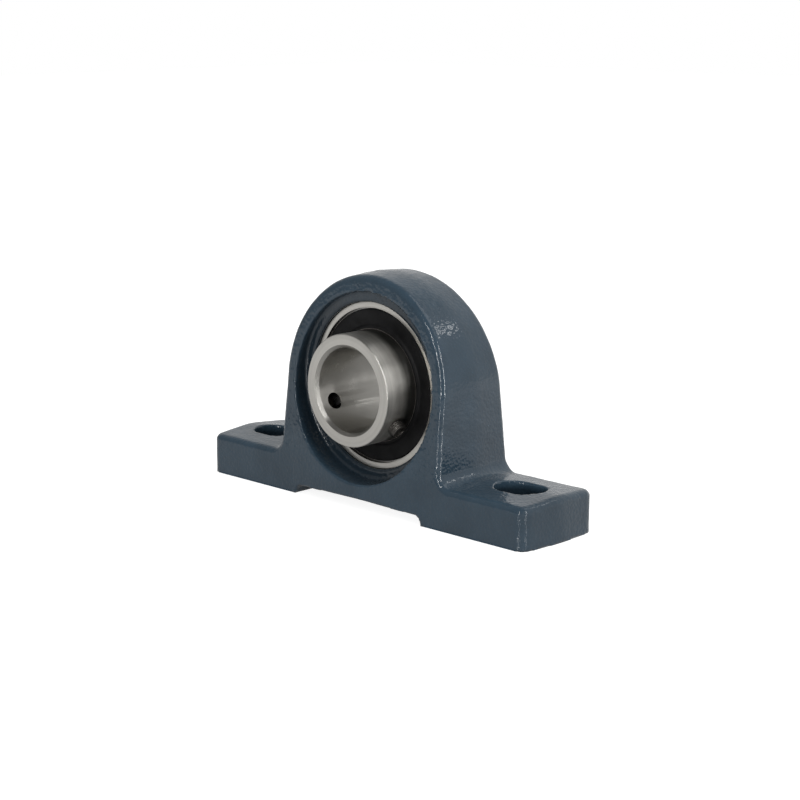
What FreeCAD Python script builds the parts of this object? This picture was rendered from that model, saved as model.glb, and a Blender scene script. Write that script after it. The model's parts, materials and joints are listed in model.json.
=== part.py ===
import FreeCAD, Part
import math
import os

import Sketcher

# Pillow block bearing: a cast housing on two slotted feet, and a ball bearing insert
# that swivels in the housing's spherical seat.
# X runs along the base, Y along the shaft, Z up. The origin is on the underside,
# below the middle of the bearing. The front, where the long end of the inner ring
# stands out, faces -Y.

SIZES = [
    # housing
    ("BaseLength", 157.0, "feet, end to end, at the mid-plane"),
    ("BaseDepth", 36.2, "feet, front to back"),
    ("FootHeight", 15.9, "top of the feet at the mid-plane"),
    ("ShaftHeight", 42.9, "underside to the shaft's axis"),
    ("CrownRadius", 39.8, "outside of the arch at the mid-plane"),
    ("CrownFlare", 1.7, "degrees that the crown's sides open downwards"),
    ("LeanStart", 0.5, "top of the feet down to where the crown's faces start to lean"),
    ("FaceLean", 5.9, "degrees that the crown's faces lean in"),
    ("PatternDraft", 4.3, "degrees from the mid-plane to the faces"),
    ("FootCorner", 4.0, "upright corners of the feet"),
    ("CastEdge", 2.4, "rounding round the front and rear faces"),
    ("RidgeRadius", 40.0, "rounding of the parting ridge at the mid-plane"),
    ("CrownRoot", 3.6, "fillet between crown and foot"),
    ("BoltSpacing", 121.0, "bolt slots, centre to centre"),
    ("SlotWidth", 14.0, "bolt slot across"),
    ("SlotLength", 19.5, "bolt slot end to end"),
    ("ReliefHeight", 3.4, "arch under the base"),
    ("ReliefHalf", 31.5, "half length of the arch at the floor"),
    ("ReliefEndRun", 2.4, "how far each end of the arch slopes"),
    ("ReliefRise", 0.5, "extra height in the middle of the arch"),
    ("CoreHalf", 24.0, "half length of the cored pocket underneath"),
    ("CoreDepth", 17.0, "front to back of the cored pocket"),
    ("CoreTop", 7.4, "roof of the cored pocket above the floor"),
    ("CoreCorner", 3.0, "corners of the cored pocket"),
    ("ApronHalf", 33.4, "half width of the crowned apron under the recess"),
    ("ApronProud", 1.0, "how far the apron crowns forward"),
    ("ApronTop", 26.0, "top of the apron"),
    ("RecessRadius", 33.6, "recess round the insert, at the mouth"),
    ("RecessFloor", 10.4, "mid-plane to the recess floor"),
    ("RecessDraft", 3.0, "degrees that the recess narrows inwards"),
    ("SeatChamfer", 0.8, "lead-in at the mouth of the seat"),
    ("SeatGap", 0.04, "running gap in the spherical seat"),
    ("LoadGap", 0.3, "room round the insert in the loading slots"),
    ("Overcut", 12.0, "how far cutting tools run past the casting"),
    ("ApronRoot", 3.0, "how deep the aprons start inside the casting"),
    # insert
    ("BoreRadius", 15.0, "shaft bore"),
    ("InsertRadius", 31.0, "spherical outside of the outer ring"),
    ("OuterWidth", 18.0, "outer ring, face to face"),
    ("OuterChamfer", 0.35, "edges of the outer ring"),
    ("InnerLong", 22.2, "centre to the long end of the inner ring"),
    ("InnerShort", 15.9, "centre to the short end of the inner ring"),
    ("InnerRadius", 19.8, "outside of the inner ring"),
    ("InnerChamfer", 0.4, "outer edges of the inner ring"),
    ("BoreChamfer", 1.1, "mouths of the shaft bore"),
    ("PitchRadius", 23.0, "circle of ball centres"),
    ("BallRadius", 4.7625, "steel balls"),
    ("BallGap", 0.02, "running gap between ball and groove"),
    ("GrooveRadius", 4.95, "cross-section of both ball grooves"),
    ("OuterLand", 25.9, "outer ring's shoulder beside the groove"),
    # seals
    ("SealSeatRadius", 27.45, "bore of the outer ring's face"),
    ("SealGrooveRadius", 27.95, "snap groove that holds the seal"),
    ("SealOut", 8.1, "mid-plane to the seal's outside"),
    ("SealIn", 6.6, "mid-plane to the seal's inside"),
    ("SealPlate", 0.5, "thickness of the seal's steel plate"),
    ("SealPlateBore", 21.6, "inner edge of the steel plate"),
    ("SealRadius", 27.0, "outside of the seal's rubber"),
    ("SealShoulder", 6.5, "mid-plane to the shoulder that the seal rests on"),
    ("SealFlange", 0.5, "crimped edge of the steel plate"),
    ("SealSnap", 0.4, "slope of the snap groove and room behind the crimp"),
    ("SealBevel", 0.3, "outer edge of the rubber"),
    ("SealDish", 0.2, "how far the rubber's face dips towards the lip"),
    ("LipGap", 0.05, "running gap under the seal lip"),
    ("LipOut", 0.5, "how far the lip stands out of the seal's face"),
    ("LipWidth", 1.3, "lip across, at its outside"),
    ("LipFoot", 0.6, "slope from the lip down to the rubber's face"),
    ("LipUndercut", 0.5, "how far the lip hollows behind its edge"),
    # cage
    ("CageThickness", 0.8, "pressed sheet of each cage half"),
    ("CageInner", 21.3, "inner edge of the cage"),
    ("CageOuter", 24.7, "outer edge of the cage"),
    ("PocketGap", 0.1, "running gap between ball and cage pocket"),
    ("RivetRadius", 0.7, "cage rivets"),
    ("RivetHead", 1.15, "cage rivet heads"),
    ("RivetHeadHeight", 0.45, "height of the cage rivet heads"),
    ("RivetHeadTop", 0.7, "flat top of the cage rivet heads"),
    ("RivetGap", 0.01, "room round the rivets in the cage"),
    # set screws and locating pin
    ("ScrewFromFace", 7.0, "long end face to the set screws' axes"),
    ("ScrewRadius", 2.95, "set screws"),
    ("ScrewHoleRadius", 3.0, "holes for the set screws"),
    ("ScrewLength", 5.5, "set screws"),
    ("ScrewTipRadius", 1.6, "cup point of the set screws"),
    ("ScrewTipClear", 2.2, "bore wall to the points of the set screws, backed out as photographed"),
    ("ScrewSocket", 1.73, "hexagon socket, centre to corner"),
    ("ScrewSocketDepth", 2.5, "depth of the hexagon socket"),
    ("ScrewBevel", 0.35, "outer edge of the set screws"),
    ("ScrewCup", 0.4, "depth of the cup in the point of the set screws"),
    ("ScrewAngle", 60.0, "each set screw from the insert's own lowest line"),
    ("ScrewTurn", -4.0, "turn of the inner ring as photographed"),
    ("PinRadius", 1.5, "locating pin"),
    ("PinGap", 0.04, "running gap round the locating pin"),
    ("PinInner", 28.9, "inner end of the locating pin"),
    ("PinOuter", 32.7, "outer end of the locating pin"),
    ("PinBevel", 0.3, "ends of the locating pin"),
    ("SwivelRange", 5.0, "degrees that the insert swivels each way"),
    ("PinNotchGap", 0.3, "room above and beyond the pin in its notch"),
]

BALL_COUNT = 9
SHEET = "Sizes"
TOUCH = 0.1


class Size:
    """A length or angle that keeps both its value and its spreadsheet expression."""

    def __init__(self, text, value):
        self.text = text
        self.value = value

    def __add__(self, other):
        other = as_size(other)
        return Size(f"({self.text} + {other.text})", self.value + other.value)

    def __radd__(self, other):
        return as_size(other) + self

    def __sub__(self, other):
        other = as_size(other)
        return Size(f"({self.text} - {other.text})", self.value - other.value)

    def __rsub__(self, other):
        return as_size(other) - self

    def __mul__(self, other):
        other = as_size(other)
        return Size(f"({self.text} * {other.text})", self.value * other.value)

    def __rmul__(self, other):
        return as_size(other) * self

    def __truediv__(self, other):
        other = as_size(other)
        return Size(f"({self.text} / {other.text})", self.value / other.value)

    def __neg__(self):
        return Size(f"(-{self.text})", -self.value)


def as_size(number):
    if isinstance(number, Size):
        return number
    return Size(repr(float(number)), float(number))


def root(size):
    return Size(f"sqrt({size.text})", math.sqrt(size.value))


def sine(degrees):
    degrees = as_size(degrees)
    return Size(f"sin({degrees.text})", math.sin(math.radians(degrees.value)))


def cosine(degrees):
    degrees = as_size(degrees)
    return Size(f"cos({degrees.text})", math.cos(math.radians(degrees.value)))


def tangent(degrees):
    degrees = as_size(degrees)
    return Size(f"tan({degrees.text})", math.tan(math.radians(degrees.value)))


def leg(long_side, short_side):
    """The third side of a right triangle."""
    return root(long_side * long_side - short_side * short_side)


# Document and spreadsheet

doc = FreeCAD.newDocument("PillowBlock")
sheet = doc.addObject("Spreadsheet::Sheet", SHEET)
size = {}
for row, (alias, number, note) in enumerate(SIZES, start=1):
    sheet.set(f"A{row}", alias)
    sheet.set(f"B{row}", str(number))
    sheet.set(f"C{row}", note)
    sheet.setAlias(f"B{row}", alias)
    size[alias] = Size(f"<<{SHEET}>>.{alias}", float(number))
doc.recompute()


# Helpers for bodies, sketches and features

def bind(thing, prop, amount):
    thing.setExpression(prop, as_size(amount).text)


def origin_plane(body, role):
    return [item for item in body.Origin.OriginFeatures if item.Role == role][0]


def new_body(name):
    body = doc.addObject("PartDesign::Body", name)
    body.Label = name
    return body


def new_sketch(body, name, role, offset=None):
    """A sketch on one of the body's own origin planes, moved off it by offset."""
    sketch = body.newObject("Sketcher::SketchObject", name)
    sketch.AttachmentSupport = [(origin_plane(body, role), "")]
    sketch.MapMode = "FlatFace"
    if offset is not None:
        bind(sketch, "AttachmentOffset.Base.z", offset)
    return sketch


def place_point(sketch, edge, end, point):
    """Hold one end of an edge at a bound position measured from the sketch's origin."""
    for kind, coordinate in zip(("DistanceX", "DistanceY"), point):
        index = sketch.addConstraint(
            Sketcher.Constraint(kind, -1, 1, edge, end, coordinate.value))
        bind(sketch, f"Constraints[{index}]", coordinate)


def arc_between(start, finish, radius, turn):
    """An arc of the given radius; turn is 1 where it bulges to the left of its chord."""
    ax, ay = start
    bx, by = finish
    span = math.hypot(bx - ax, by - ay)
    rise = radius - math.sqrt(max(radius * radius - span * span / 4, 0.0))
    middle = FreeCAD.Vector((ax + bx) / 2 - turn * rise * (by - ay) / span,
                            (ay + by) / 2 + turn * rise * (bx - ax) / span, 0)
    return Part.Arc(FreeCAD.Vector(ax, ay, 0), middle, FreeCAD.Vector(bx, by, 0))


def outline(sketch, points, arcs=None):
    """A closed outline through bound points; arcs maps an edge to (radius, turn)."""
    arcs = arcs or {}
    points = [(as_size(x), as_size(y)) for x, y in points]
    first = sketch.GeometryCount
    for number, start in enumerate(points):
        finish = points[(number + 1) % len(points)]
        from_xy = (start[0].value, start[1].value)
        to_xy = (finish[0].value, finish[1].value)
        if number in arcs:
            radius, turn = arcs[number]
            sketch.addGeometry(arc_between(from_xy, to_xy, as_size(radius).value, turn))
        else:
            sketch.addGeometry(Part.LineSegment(FreeCAD.Vector(*from_xy, 0),
                                                FreeCAD.Vector(*to_xy, 0)))
    total = len(points)
    ends = []
    for number in range(total):
        near, far = 1, 2
        if number in arcs and arcs[number][1] > 0:
            near, far = 2, 1
        ends.append((near, far))
    for number in range(total):
        following = (number + 1) % total
        sketch.addConstraint(Sketcher.Constraint(
            "Coincident", first + number, ends[number][1],
            first + following, ends[following][0]))
        place_point(sketch, first + number, ends[number][0], points[number])
    for number, (radius, _) in arcs.items():
        radius = as_size(radius)
        index = sketch.addConstraint(
            Sketcher.Constraint("Radius", first + number, radius.value))
        bind(sketch, f"Constraints[{index}]", radius)


def revolve(body, name, sketch):
    """Turn a sketch on the XY plane about the sketch's own upright axis, once round."""
    feature = body.newObject("PartDesign::Revolution", name)
    feature.Profile = sketch
    feature.ReferenceAxis = (sketch, ["V_Axis"])
    feature.Angle = 360
    return feature


def through_pocket(body, name, sketch, length):
    """Cut a sketch both ways, length in all."""
    pocket = body.newObject("PartDesign::Pocket", name)
    pocket.Profile = sketch
    pocket.SideType = "Symmetric"
    bind(pocket, "Length", length)
    return pocket


def edges_where(shape, test):
    """Names of the edges whose middle point and curve pass the test."""
    names = []
    for number, edge in enumerate(shape.Edges, start=1):
        low, high = edge.ParameterRange
        if test(edge, edge.valueAt((low + high) / 2)):
            names.append(f"Edge{number}")
    return names


def fillet(body, name, test, radius):
    """Round the edges of the body's last feature that pass the test."""
    doc.recompute()
    base = body.Tip
    feature = body.newObject("PartDesign::Fillet", name)
    feature.Base = (base, edges_where(base.Shape, test))
    bind(feature, "Radius", radius)
    doc.recompute()
    return feature


def lift_to_shaft(thing):
    """Raise an insert piece from the origin to the shaft's height."""
    bind(thing, "Placement.Base.z", size["ShaftHeight"])


# Housing

def crown_face(height):
    """Distance of the crown's leaning face from the mid-plane at a height."""
    bend = size["FootHeight"] - size["LeanStart"]
    return size["BaseDepth"] / 2 - (height - bend) * tangent(size["FaceLean"])


def build_housing():
    body = new_body("housing")
    half_length = size["BaseLength"] / 2
    half_depth = size["BaseDepth"] / 2
    radius = size["CrownRadius"]
    axis_height = size["ShaftHeight"]
    foot = size["FootHeight"]
    spare = size["Overcut"]
    below = -spare / 4
    flare = tangent(size["CrownFlare"])
    root_radius = size["CrownRoot"]
    root_top = foot + root_radius
    side_at_root = radius + (axis_height - root_top) * flare
    root_out = side_at_root + root_radius

    # The pattern parts at the mid-plane and draws off to the front and the back.
    sketch = new_sketch(body, "HousingOutline", "XZ_Plane")
    outline(sketch, [
        (-half_length, below),
        (half_length, below),
        (half_length, foot),
        (root_out, foot),
        (side_at_root, root_top),
        (radius, axis_height),
        (0, axis_height + radius),
        (-radius, axis_height),
        (-side_at_root, root_top),
        (-root_out, foot),
        (-half_length, foot),
    ], arcs={3: (root_radius, 1), 5: (radius, -1), 6: (radius, -1), 8: (root_radius, 1)})
    block = body.newObject("PartDesign::Pad", "HousingBlock")
    block.Profile = sketch
    block.SideType = "Two sides"
    bind(block, "Length", half_depth)
    bind(block, "Length2", half_depth)
    bind(block, "TaperAngle", -size["PatternDraft"])
    bind(block, "TaperAngle2", -size["PatternDraft"])
    doc.recompute()

    # Machined underside
    sketch = new_sketch(body, "UndersideOutline", "XZ_Plane")
    outline(sketch, [(-half_length - spare, -spare), (half_length + spare, -spare),
                     (half_length + spare, 0), (-half_length - spare, 0)])
    through_pocket(body, "Underside", sketch, size["BaseDepth"] + spare)

    # Faces of the crown lean towards each other from where they meet the feet's faces.
    top = axis_height + radius + spare
    far = half_depth + spare
    bend = foot - size["LeanStart"]
    for side, name in ((-1, "Front"), (1, "Rear")):
        sketch = new_sketch(body, f"{name}LeanOutline", "YZ_Plane")
        outline(sketch, [(side * half_depth, bend), (side * crown_face(top), top),
                         (side * far, top), (side * far, bend)])
        through_pocket(body, f"{name}Lean", sketch, size["BaseLength"])

    # Upright corners, the rims of both faces, then the soft parting ridge
    drafted_foot = foot.value - half_depth.value * tangent(size["PatternDraft"]).value

    def foot_upright(edge, middle):
        return (abs(middle.x) > root_out.value and abs(middle.y) > half_depth.value * 0.9
                and edge.BoundBox.ZLength > foot.value / 2)

    def face_rim(edge, middle):
        return middle.z > drafted_foot - TOUCH and abs(middle.y) > half_depth.value / 2

    def parting_ridge(edge, middle):
        return abs(middle.y) < TOUCH and middle.z > TOUCH and edge.BoundBox.YLength < TOUCH

    fillet(body, "FootCorners", foot_upright, size["FootCorner"])
    fillet(body, "FaceRims", face_rim, size["CastEdge"])
    fillet(body, "PartingRidge", parting_ridge, size["RidgeRadius"])

    # Aprons under the recess, crowned outwards
    apron = size["ApronHalf"]
    proud = size["ApronProud"]
    apron_radius = (apron * apron + proud * proud) / (2 * proud)
    inside = half_depth - size["ApronRoot"]
    for side, name in ((-1, "Front"), (1, "Rear")):
        corners = [(side * apron, side * inside), (side * apron, side * half_depth),
                   (-side * apron, side * half_depth), (-side * apron, side * inside)]
        arcs = {1: (apron_radius, -1)}
        sketch = new_sketch(body, f"{name}ApronFootOutline", "XY_Plane")
        outline(sketch, corners, arcs)
        pad = body.newObject("PartDesign::Pad", f"{name}ApronFoot")
        pad.Profile = sketch
        bind(pad, "Length", bend)
        sketch = new_sketch(body, f"{name}ApronOutline", "XY_Plane", bend)
        outline(sketch, corners, arcs)
        pad = body.newObject("PartDesign::Pad", f"{name}Apron")
        pad.Profile = sketch
        pad.UseCustomVector = True
        pad.Direction = FreeCAD.Vector(0, -side * tangent(size["FaceLean"]).value, 1)
        bind(pad, "Direction.y", -side * tangent(size["FaceLean"]))
        pad.AlongSketchNormal = True
        bind(pad, "Length", size["ApronTop"] - bend)

    # Arch between the feet
    sketch = new_sketch(body, "ReliefOutline", "XZ_Plane")
    arch = size["ReliefHalf"]
    inner = arch - size["ReliefEndRun"]
    rise = size["ReliefRise"]
    ceiling = size["ReliefHeight"]
    outline(sketch, [(-arch, -spare), (arch, -spare), (arch, 0), (inner, ceiling),
                     (-inner, ceiling), (-arch, 0)],
            arcs={2: (ceiling + rise, -1), 3: ((inner * inner + rise * rise) / (2 * rise), -1),
                  4: (ceiling + rise, -1)})
    through_pocket(body, "Relief", sketch, size["BaseDepth"] + spare)

    # Cored pocket in the middle of the underside
    sketch = new_sketch(body, "CoreOutline", "XY_Plane")
    corner = size["CoreCorner"]
    core_x = size["CoreHalf"]
    core_y = size["CoreDepth"] / 2
    outline(sketch, [
        (-core_x + corner, -core_y), (core_x - corner, -core_y),
        (core_x, -core_y + corner), (core_x, core_y - corner),
        (core_x - corner, core_y), (-core_x + corner, core_y),
        (-core_x, core_y - corner), (-core_x, -core_y + corner),
    ], arcs={1: (corner, -1), 3: (corner, -1), 5: (corner, -1), 7: (corner, -1)})
    through_pocket(body, "Core", sketch, 2 * size["CoreTop"])

    # Bolt slots
    slot_radius = size["SlotWidth"] / 2
    straight = (size["SlotLength"] - size["SlotWidth"]) / 2
    sketch = new_sketch(body, "SlotOutlines", "XY_Plane")
    for side in (-1, 1):
        middle = side * size["BoltSpacing"] / 2
        outline(sketch, [
            (middle - straight, -slot_radius), (middle + straight, -slot_radius),
            (middle + straight + slot_radius, 0), (middle + straight, slot_radius),
            (middle - straight, slot_radius), (middle - straight - slot_radius, 0),
        ], arcs={1: (slot_radius, -1), 2: (slot_radius, -1),
                 4: (slot_radius, -1), 5: (slot_radius, -1)})
    through_pocket(body, "BoltSlots", sketch, 3 * size["FootHeight"])

    # Recess on both sides and the spherical seat between them
    seat = size["InsertRadius"] + size["SeatGap"]
    floor = size["RecessFloor"]
    lead = size["SeatChamfer"]
    narrow = tangent(size["RecessDraft"])
    mouth = crown_face(axis_height)
    out = half_depth + spare
    wall_out = size["RecessRadius"] + (out - mouth) * narrow
    wall_in = size["RecessRadius"] - (mouth - floor) * narrow
    lip = leg(seat, floor) + lead
    seat_end = floor - lead
    seat_edge = leg(seat, seat_end)
    sketch = new_sketch(body, "SeatProfile", "YZ_Plane")
    outline(sketch, [
        (-out, axis_height), (out, axis_height),
        (out, axis_height + wall_out), (floor, axis_height + wall_in),
        (floor, axis_height + lip), (seat_end, axis_height + seat_edge),
        (-seat_end, axis_height + seat_edge), (-floor, axis_height + lip),
        (-floor, axis_height + wall_in), (-out, axis_height + wall_out),
    ], arcs={5: (seat, -1)})
    turned = body.newObject("PartDesign::Groove", "Seat")
    turned.Profile = sketch
    turned.ReferenceAxis = (sketch, ["Edge1"])
    turned.Angle = 360

    # Loading slots behind the seat, where the insert goes in edge on
    load_x = size["InsertRadius"] + size["LoadGap"]
    load_z = size["OuterWidth"] / 2 + size["LoadGap"]
    sketch = new_sketch(body, "LoadingOutline", "XZ_Plane")
    outline(sketch, [(-load_x, axis_height - load_z), (load_x, axis_height - load_z),
                     (load_x, axis_height + load_z), (-load_x, axis_height + load_z)])
    pocket = body.newObject("PartDesign::Pocket", "LoadingSlots")
    pocket.Profile = sketch
    bind(pocket, "Length", floor)

    # Notch that the locating pin swings in
    swing = size["PinOuter"] * sine(size["SwivelRange"]) + size["PinRadius"]
    notch_front = swing + size["PinNotchGap"]
    notch_z = size["PinRadius"] + size["PinGap"]
    notch_x = size["PinOuter"] + size["PinNotchGap"]
    sketch = new_sketch(body, "NotchOutline", "XZ_Plane", notch_front)
    outline(sketch, [(size["PinInner"], axis_height - notch_z), (notch_x, axis_height - notch_z),
                     (notch_x, axis_height + notch_z), (size["PinInner"], axis_height + notch_z)])
    pocket = body.newObject("PartDesign::Pocket", "PinNotch")
    pocket.Profile = sketch
    bind(pocket, "Length", notch_front + floor)
    return body


# Insert rings

def groove_edge(centre_radius, land_radius):
    """Distance from the mid-plane at which a ball groove meets its shoulder."""
    return leg(size["GrooveRadius"], land_radius - centre_radius)


def radial_hole(body, name, radius, from_radius, axial, angle):
    """Cut a radial hole outwards; the angle is counted from +X towards +Z."""
    hole = body.newObject("PartDesign::SubtractiveCylinder", name)
    bind(hole, "Radius", radius)
    bind(hole, "Height", size["InsertRadius"])
    hole.Placement = FreeCAD.Placement(FreeCAD.Vector(0, 0, 0),
                                       FreeCAD.Rotation(FreeCAD.Vector(0, 1, 0), 90))
    bind(hole, "Placement.Rotation.Angle", 90 - angle)
    bind(hole, "Placement.Base.x", from_radius * cosine(angle))
    bind(hole, "Placement.Base.y", axial)
    bind(hole, "Placement.Base.z", from_radius * sine(angle))
    return hole


def build_outer_ring():
    body = new_body("outer_ring")
    ball_centre = size["PitchRadius"] + size["BallRadius"] + size["BallGap"] - size["GrooveRadius"]
    land = size["OuterLand"]
    groove = groove_edge(ball_centre, land)
    face = size["OuterWidth"] / 2
    chamfer = size["OuterChamfer"]
    radius = size["InsertRadius"]
    seal_seat = size["SealSeatRadius"]
    snap = size["SealGrooveRadius"]
    shoulder = size["SealShoulder"]
    snap_end = size["SealOut"]
    snap_slope = size["SealSnap"]
    face_edge = leg(radius, face - chamfer) - chamfer
    crown_edge = leg(radius, face - chamfer)
    sketch = new_sketch(body, "OuterRingProfile", "XY_Plane")
    outline(sketch, [
        (seal_seat, -face), (face_edge, -face), (crown_edge, -face + chamfer),
        (crown_edge, face - chamfer), (face_edge, face), (seal_seat, face),
        (seal_seat, snap_end), (snap, snap_end - snap_slope), (snap, shoulder), (land, shoulder),
        (land, groove), (land, -groove),
        (land, -shoulder), (snap, -shoulder), (snap, -snap_end + snap_slope), (seal_seat, -snap_end),
    ], arcs={2: (radius, -1), 10: (size["GrooveRadius"], 1)})
    revolve(body, "OuterRingTurned", sketch)
    radial_hole(body, "PinHole", size["PinRadius"] + size["PinGap"],
                size["PinInner"] - size["PinGap"], as_size(0), as_size(0))
    lift_to_shaft(body)
    return body


def screw_angles():
    """Directions of both set screws, counted from +X towards +Z."""
    lowest = -90 + size["ScrewTurn"]
    return [lowest + size["ScrewAngle"], lowest - size["ScrewAngle"]]


def screw_axial():
    return -(size["InnerLong"] - size["ScrewFromFace"])


def build_inner_ring():
    body = new_body("inner_ring")
    ball_centre = size["PitchRadius"] - size["BallRadius"] - size["BallGap"] + size["GrooveRadius"]
    radius = size["InnerRadius"]
    groove = groove_edge(ball_centre, radius)
    bore = size["BoreRadius"]
    front = -size["InnerLong"]
    rear = size["InnerShort"]
    edge = size["InnerChamfer"]
    mouth = size["BoreChamfer"]
    sketch = new_sketch(body, "InnerRingProfile", "XY_Plane")
    outline(sketch, [
        (bore + mouth, front), (radius - edge, front), (radius, front + edge),
        (radius, -groove), (radius, groove), (radius, rear - edge), (radius - edge, rear),
        (bore + mouth, rear), (bore, rear - mouth), (bore, front + mouth),
    ], arcs={3: (size["GrooveRadius"], 1)})
    revolve(body, "InnerRingTurned", sketch)
    for number, angle in enumerate(screw_angles(), start=1):
        radial_hole(body, f"ScrewHole{number}", size["ScrewHoleRadius"], bore / 2,
                    screw_axial(), angle)
    lift_to_shaft(body)
    return body


# Balls and cage

def ball_angles():
    return [90 + 360 / BALL_COUNT * number for number in range(BALL_COUNT)]


def sphere_on_pitch(name, radius, angle):
    """A sphere on the ball circle, at the angle counted from +X towards +Z."""
    ball = doc.addObject("Part::Sphere", name)
    bind(ball, "Radius", radius)
    ball.Label = name
    bind(ball, "Placement.Base.x", size["PitchRadius"] * cosine(angle))
    bind(ball, "Placement.Base.z", size["ShaftHeight"] + size["PitchRadius"] * sine(angle))
    return ball


def build_balls():
    return [sphere_on_pitch(f"ball_{number}", size["BallRadius"], angle)
            for number, angle in enumerate(ball_angles(), start=1)]


def axial_cylinder(name, radius, length, side):
    """A cylinder from the mid-plane to the front (side -1) or to the rear (side 1)."""
    cylinder = doc.addObject("Part::Cylinder", name)
    bind(cylinder, "Radius", radius)
    bind(cylinder, "Height", length)
    cylinder.Placement = FreeCAD.Placement(
        FreeCAD.Vector(0, 0, 0), FreeCAD.Rotation(FreeCAD.Vector(1, 0, 0), -side * 90))
    bind(cylinder, "Placement.Base.z", size["ShaftHeight"])
    return cylinder


def join(kind, name, pieces):
    """A boolean of one kind: MultiFuse or MultiCommon for a list, Cut for a pair."""
    feature = doc.addObject(f"Part::{kind}", name)
    if kind == "Cut":
        feature.Base, feature.Tool = pieces
    else:
        feature.Shapes = pieces
    return feature


def build_cage():
    """Two pressed halves with a dome over every ball, riveted between the balls."""
    sheet_gauge = size["CageThickness"]
    pocket = size["BallRadius"] + size["PocketGap"]
    dome = pocket + sheet_gauge
    domes = [sphere_on_pitch(f"Dome{number}", dome, angle)
             for number, angle in enumerate(ball_angles(), start=1)]
    pockets = [sphere_on_pitch(f"Pocket{number}", pocket, angle)
               for number, angle in enumerate(ball_angles(), start=1)]
    pocket_group = join("MultiFuse", "Pockets", pockets)
    holes = []
    for number, angle in enumerate(ball_angles(), start=1):
        between = angle + 180 / BALL_COUNT
        hole = doc.addObject("Part::Cylinder", f"RivetHole{number}")
        bind(hole, "Radius", size["RivetRadius"] + size["RivetGap"])
        bind(hole, "Height", 4 * sheet_gauge)
        hole.Placement = FreeCAD.Placement(
            FreeCAD.Vector(0, 0, 0), FreeCAD.Rotation(FreeCAD.Vector(1, 0, 0), 90))
        bind(hole, "Placement.Base.x", size["PitchRadius"] * cosine(between))
        bind(hole, "Placement.Base.y", 2 * sheet_gauge)
        bind(hole, "Placement.Base.z",
             size["ShaftHeight"] + size["PitchRadius"] * sine(between))
        holes.append(hole)
    cutters = join("MultiFuse", "CageCutters", [pocket_group] + holes)
    halves = []
    for side, name in ((-1, "front"), (1, "rear")):
        disc = axial_cylinder(f"{name}_disc", size["CageOuter"], sheet_gauge, side)
        blank = join("MultiFuse", f"{name}_blank", [disc] + domes)
        outer = axial_cylinder(f"{name}_outside", size["CageOuter"], 2 * dome, side)
        inner = axial_cylinder(f"{name}_inside", size["CageInner"], 3 * dome, side)
        band = join("Cut", f"{name}_band", (outer, inner))
        trimmed = join("MultiCommon", f"{name}_trimmed", [blank, band])
        half = join("Cut", f"cage_{name}", (trimmed, cutters))
        half.Label = f"cage_{name}"
        halves.append(half)
    return halves


def build_rivets():
    """One rivet between each pair of balls, all in one group."""
    shank = size["RivetRadius"].value
    head = size["RivetHead"].value
    head_top = size["RivetHeadTop"].value
    half = size["CageThickness"].value
    end = half + size["RivetHeadHeight"].value
    profile = Part.makePolygon([FreeCAD.Vector(*point, 0) for point in (
        (0, -end), (head_top, -end), (head, -half), (shank, -half),
        (shank, half), (head, half), (head_top, end), (0, end), (0, -end))])
    rivet = Part.Face(profile).revolve(FreeCAD.Vector(0, 0, 0), FreeCAD.Vector(0, 1, 0), 360)
    copies = []
    for angle in ball_angles():
        between = math.radians(angle + 180 / BALL_COUNT)
        copy = rivet.copy()
        copy.translate(FreeCAD.Vector(size["PitchRadius"].value * math.cos(between), 0,
                                      size["PitchRadius"].value * math.sin(between)))
        copies.append(copy)
    group = doc.addObject("Part::Feature", "cage_rivets")
    group.Shape = Part.makeCompound(copies)
    group.Label = "cage_rivets"
    lift_to_shaft(group)
    return group


# Seals

def build_seal(name, side):
    """Rubber lip and facing on a pressed steel plate, on the front or the rear side."""
    inside = size["SealIn"]
    front_of_plate = inside + size["SealPlate"]
    outside = size["SealOut"]
    plate_bore = size["SealPlateBore"]
    plate_inside = plate_bore - size["LipGap"]
    shaft_side = size["InnerRadius"] + size["LipGap"]
    rubber_edge = size["SealRadius"]
    plate_edge = size["SealGrooveRadius"] - size["LipGap"]
    flange = plate_edge - size["SealFlange"]
    flange_top = outside - size["SealSnap"] - size["LipGap"]
    bevel = size["SealBevel"]
    lip_top = outside + size["LipOut"]
    lip_edge = shaft_side + size["LipWidth"]

    rubber = new_body(f"{name}_seal")
    sketch = new_sketch(rubber, f"{name}_seal_profile", "XY_Plane")
    outline(sketch, [(radius, side * axial) for radius, axial in (
        (rubber_edge, front_of_plate),
        (rubber_edge, outside - bevel),
        (rubber_edge - bevel, outside),
        (lip_edge + size["LipFoot"], outside - size["SealDish"]),
        (lip_edge, lip_top),
        (shaft_side, lip_top),
        (shaft_side, outside - bevel),
        (shaft_side + size["LipUndercut"], front_of_plate),
        (plate_bore - bevel, inside),
        (plate_inside, inside),
        (plate_inside, front_of_plate),
    )])
    revolve(rubber, f"{name}_seal_turned", sketch)
    lift_to_shaft(rubber)

    plate = new_body(f"{name}_seal_plate")
    sketch = new_sketch(plate, f"{name}_plate_profile", "XY_Plane")
    outline(sketch, [(radius, side * axial) for radius, axial in (
        (plate_bore, inside), (plate_edge, inside), (plate_edge, flange_top),
        (flange, flange_top), (flange, front_of_plate), (plate_bore, front_of_plate),
    )])
    revolve(plate, f"{name}_plate_turned", sketch)
    lift_to_shaft(plate)
    return [rubber, plate]


# Set screws and locating pin

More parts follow.
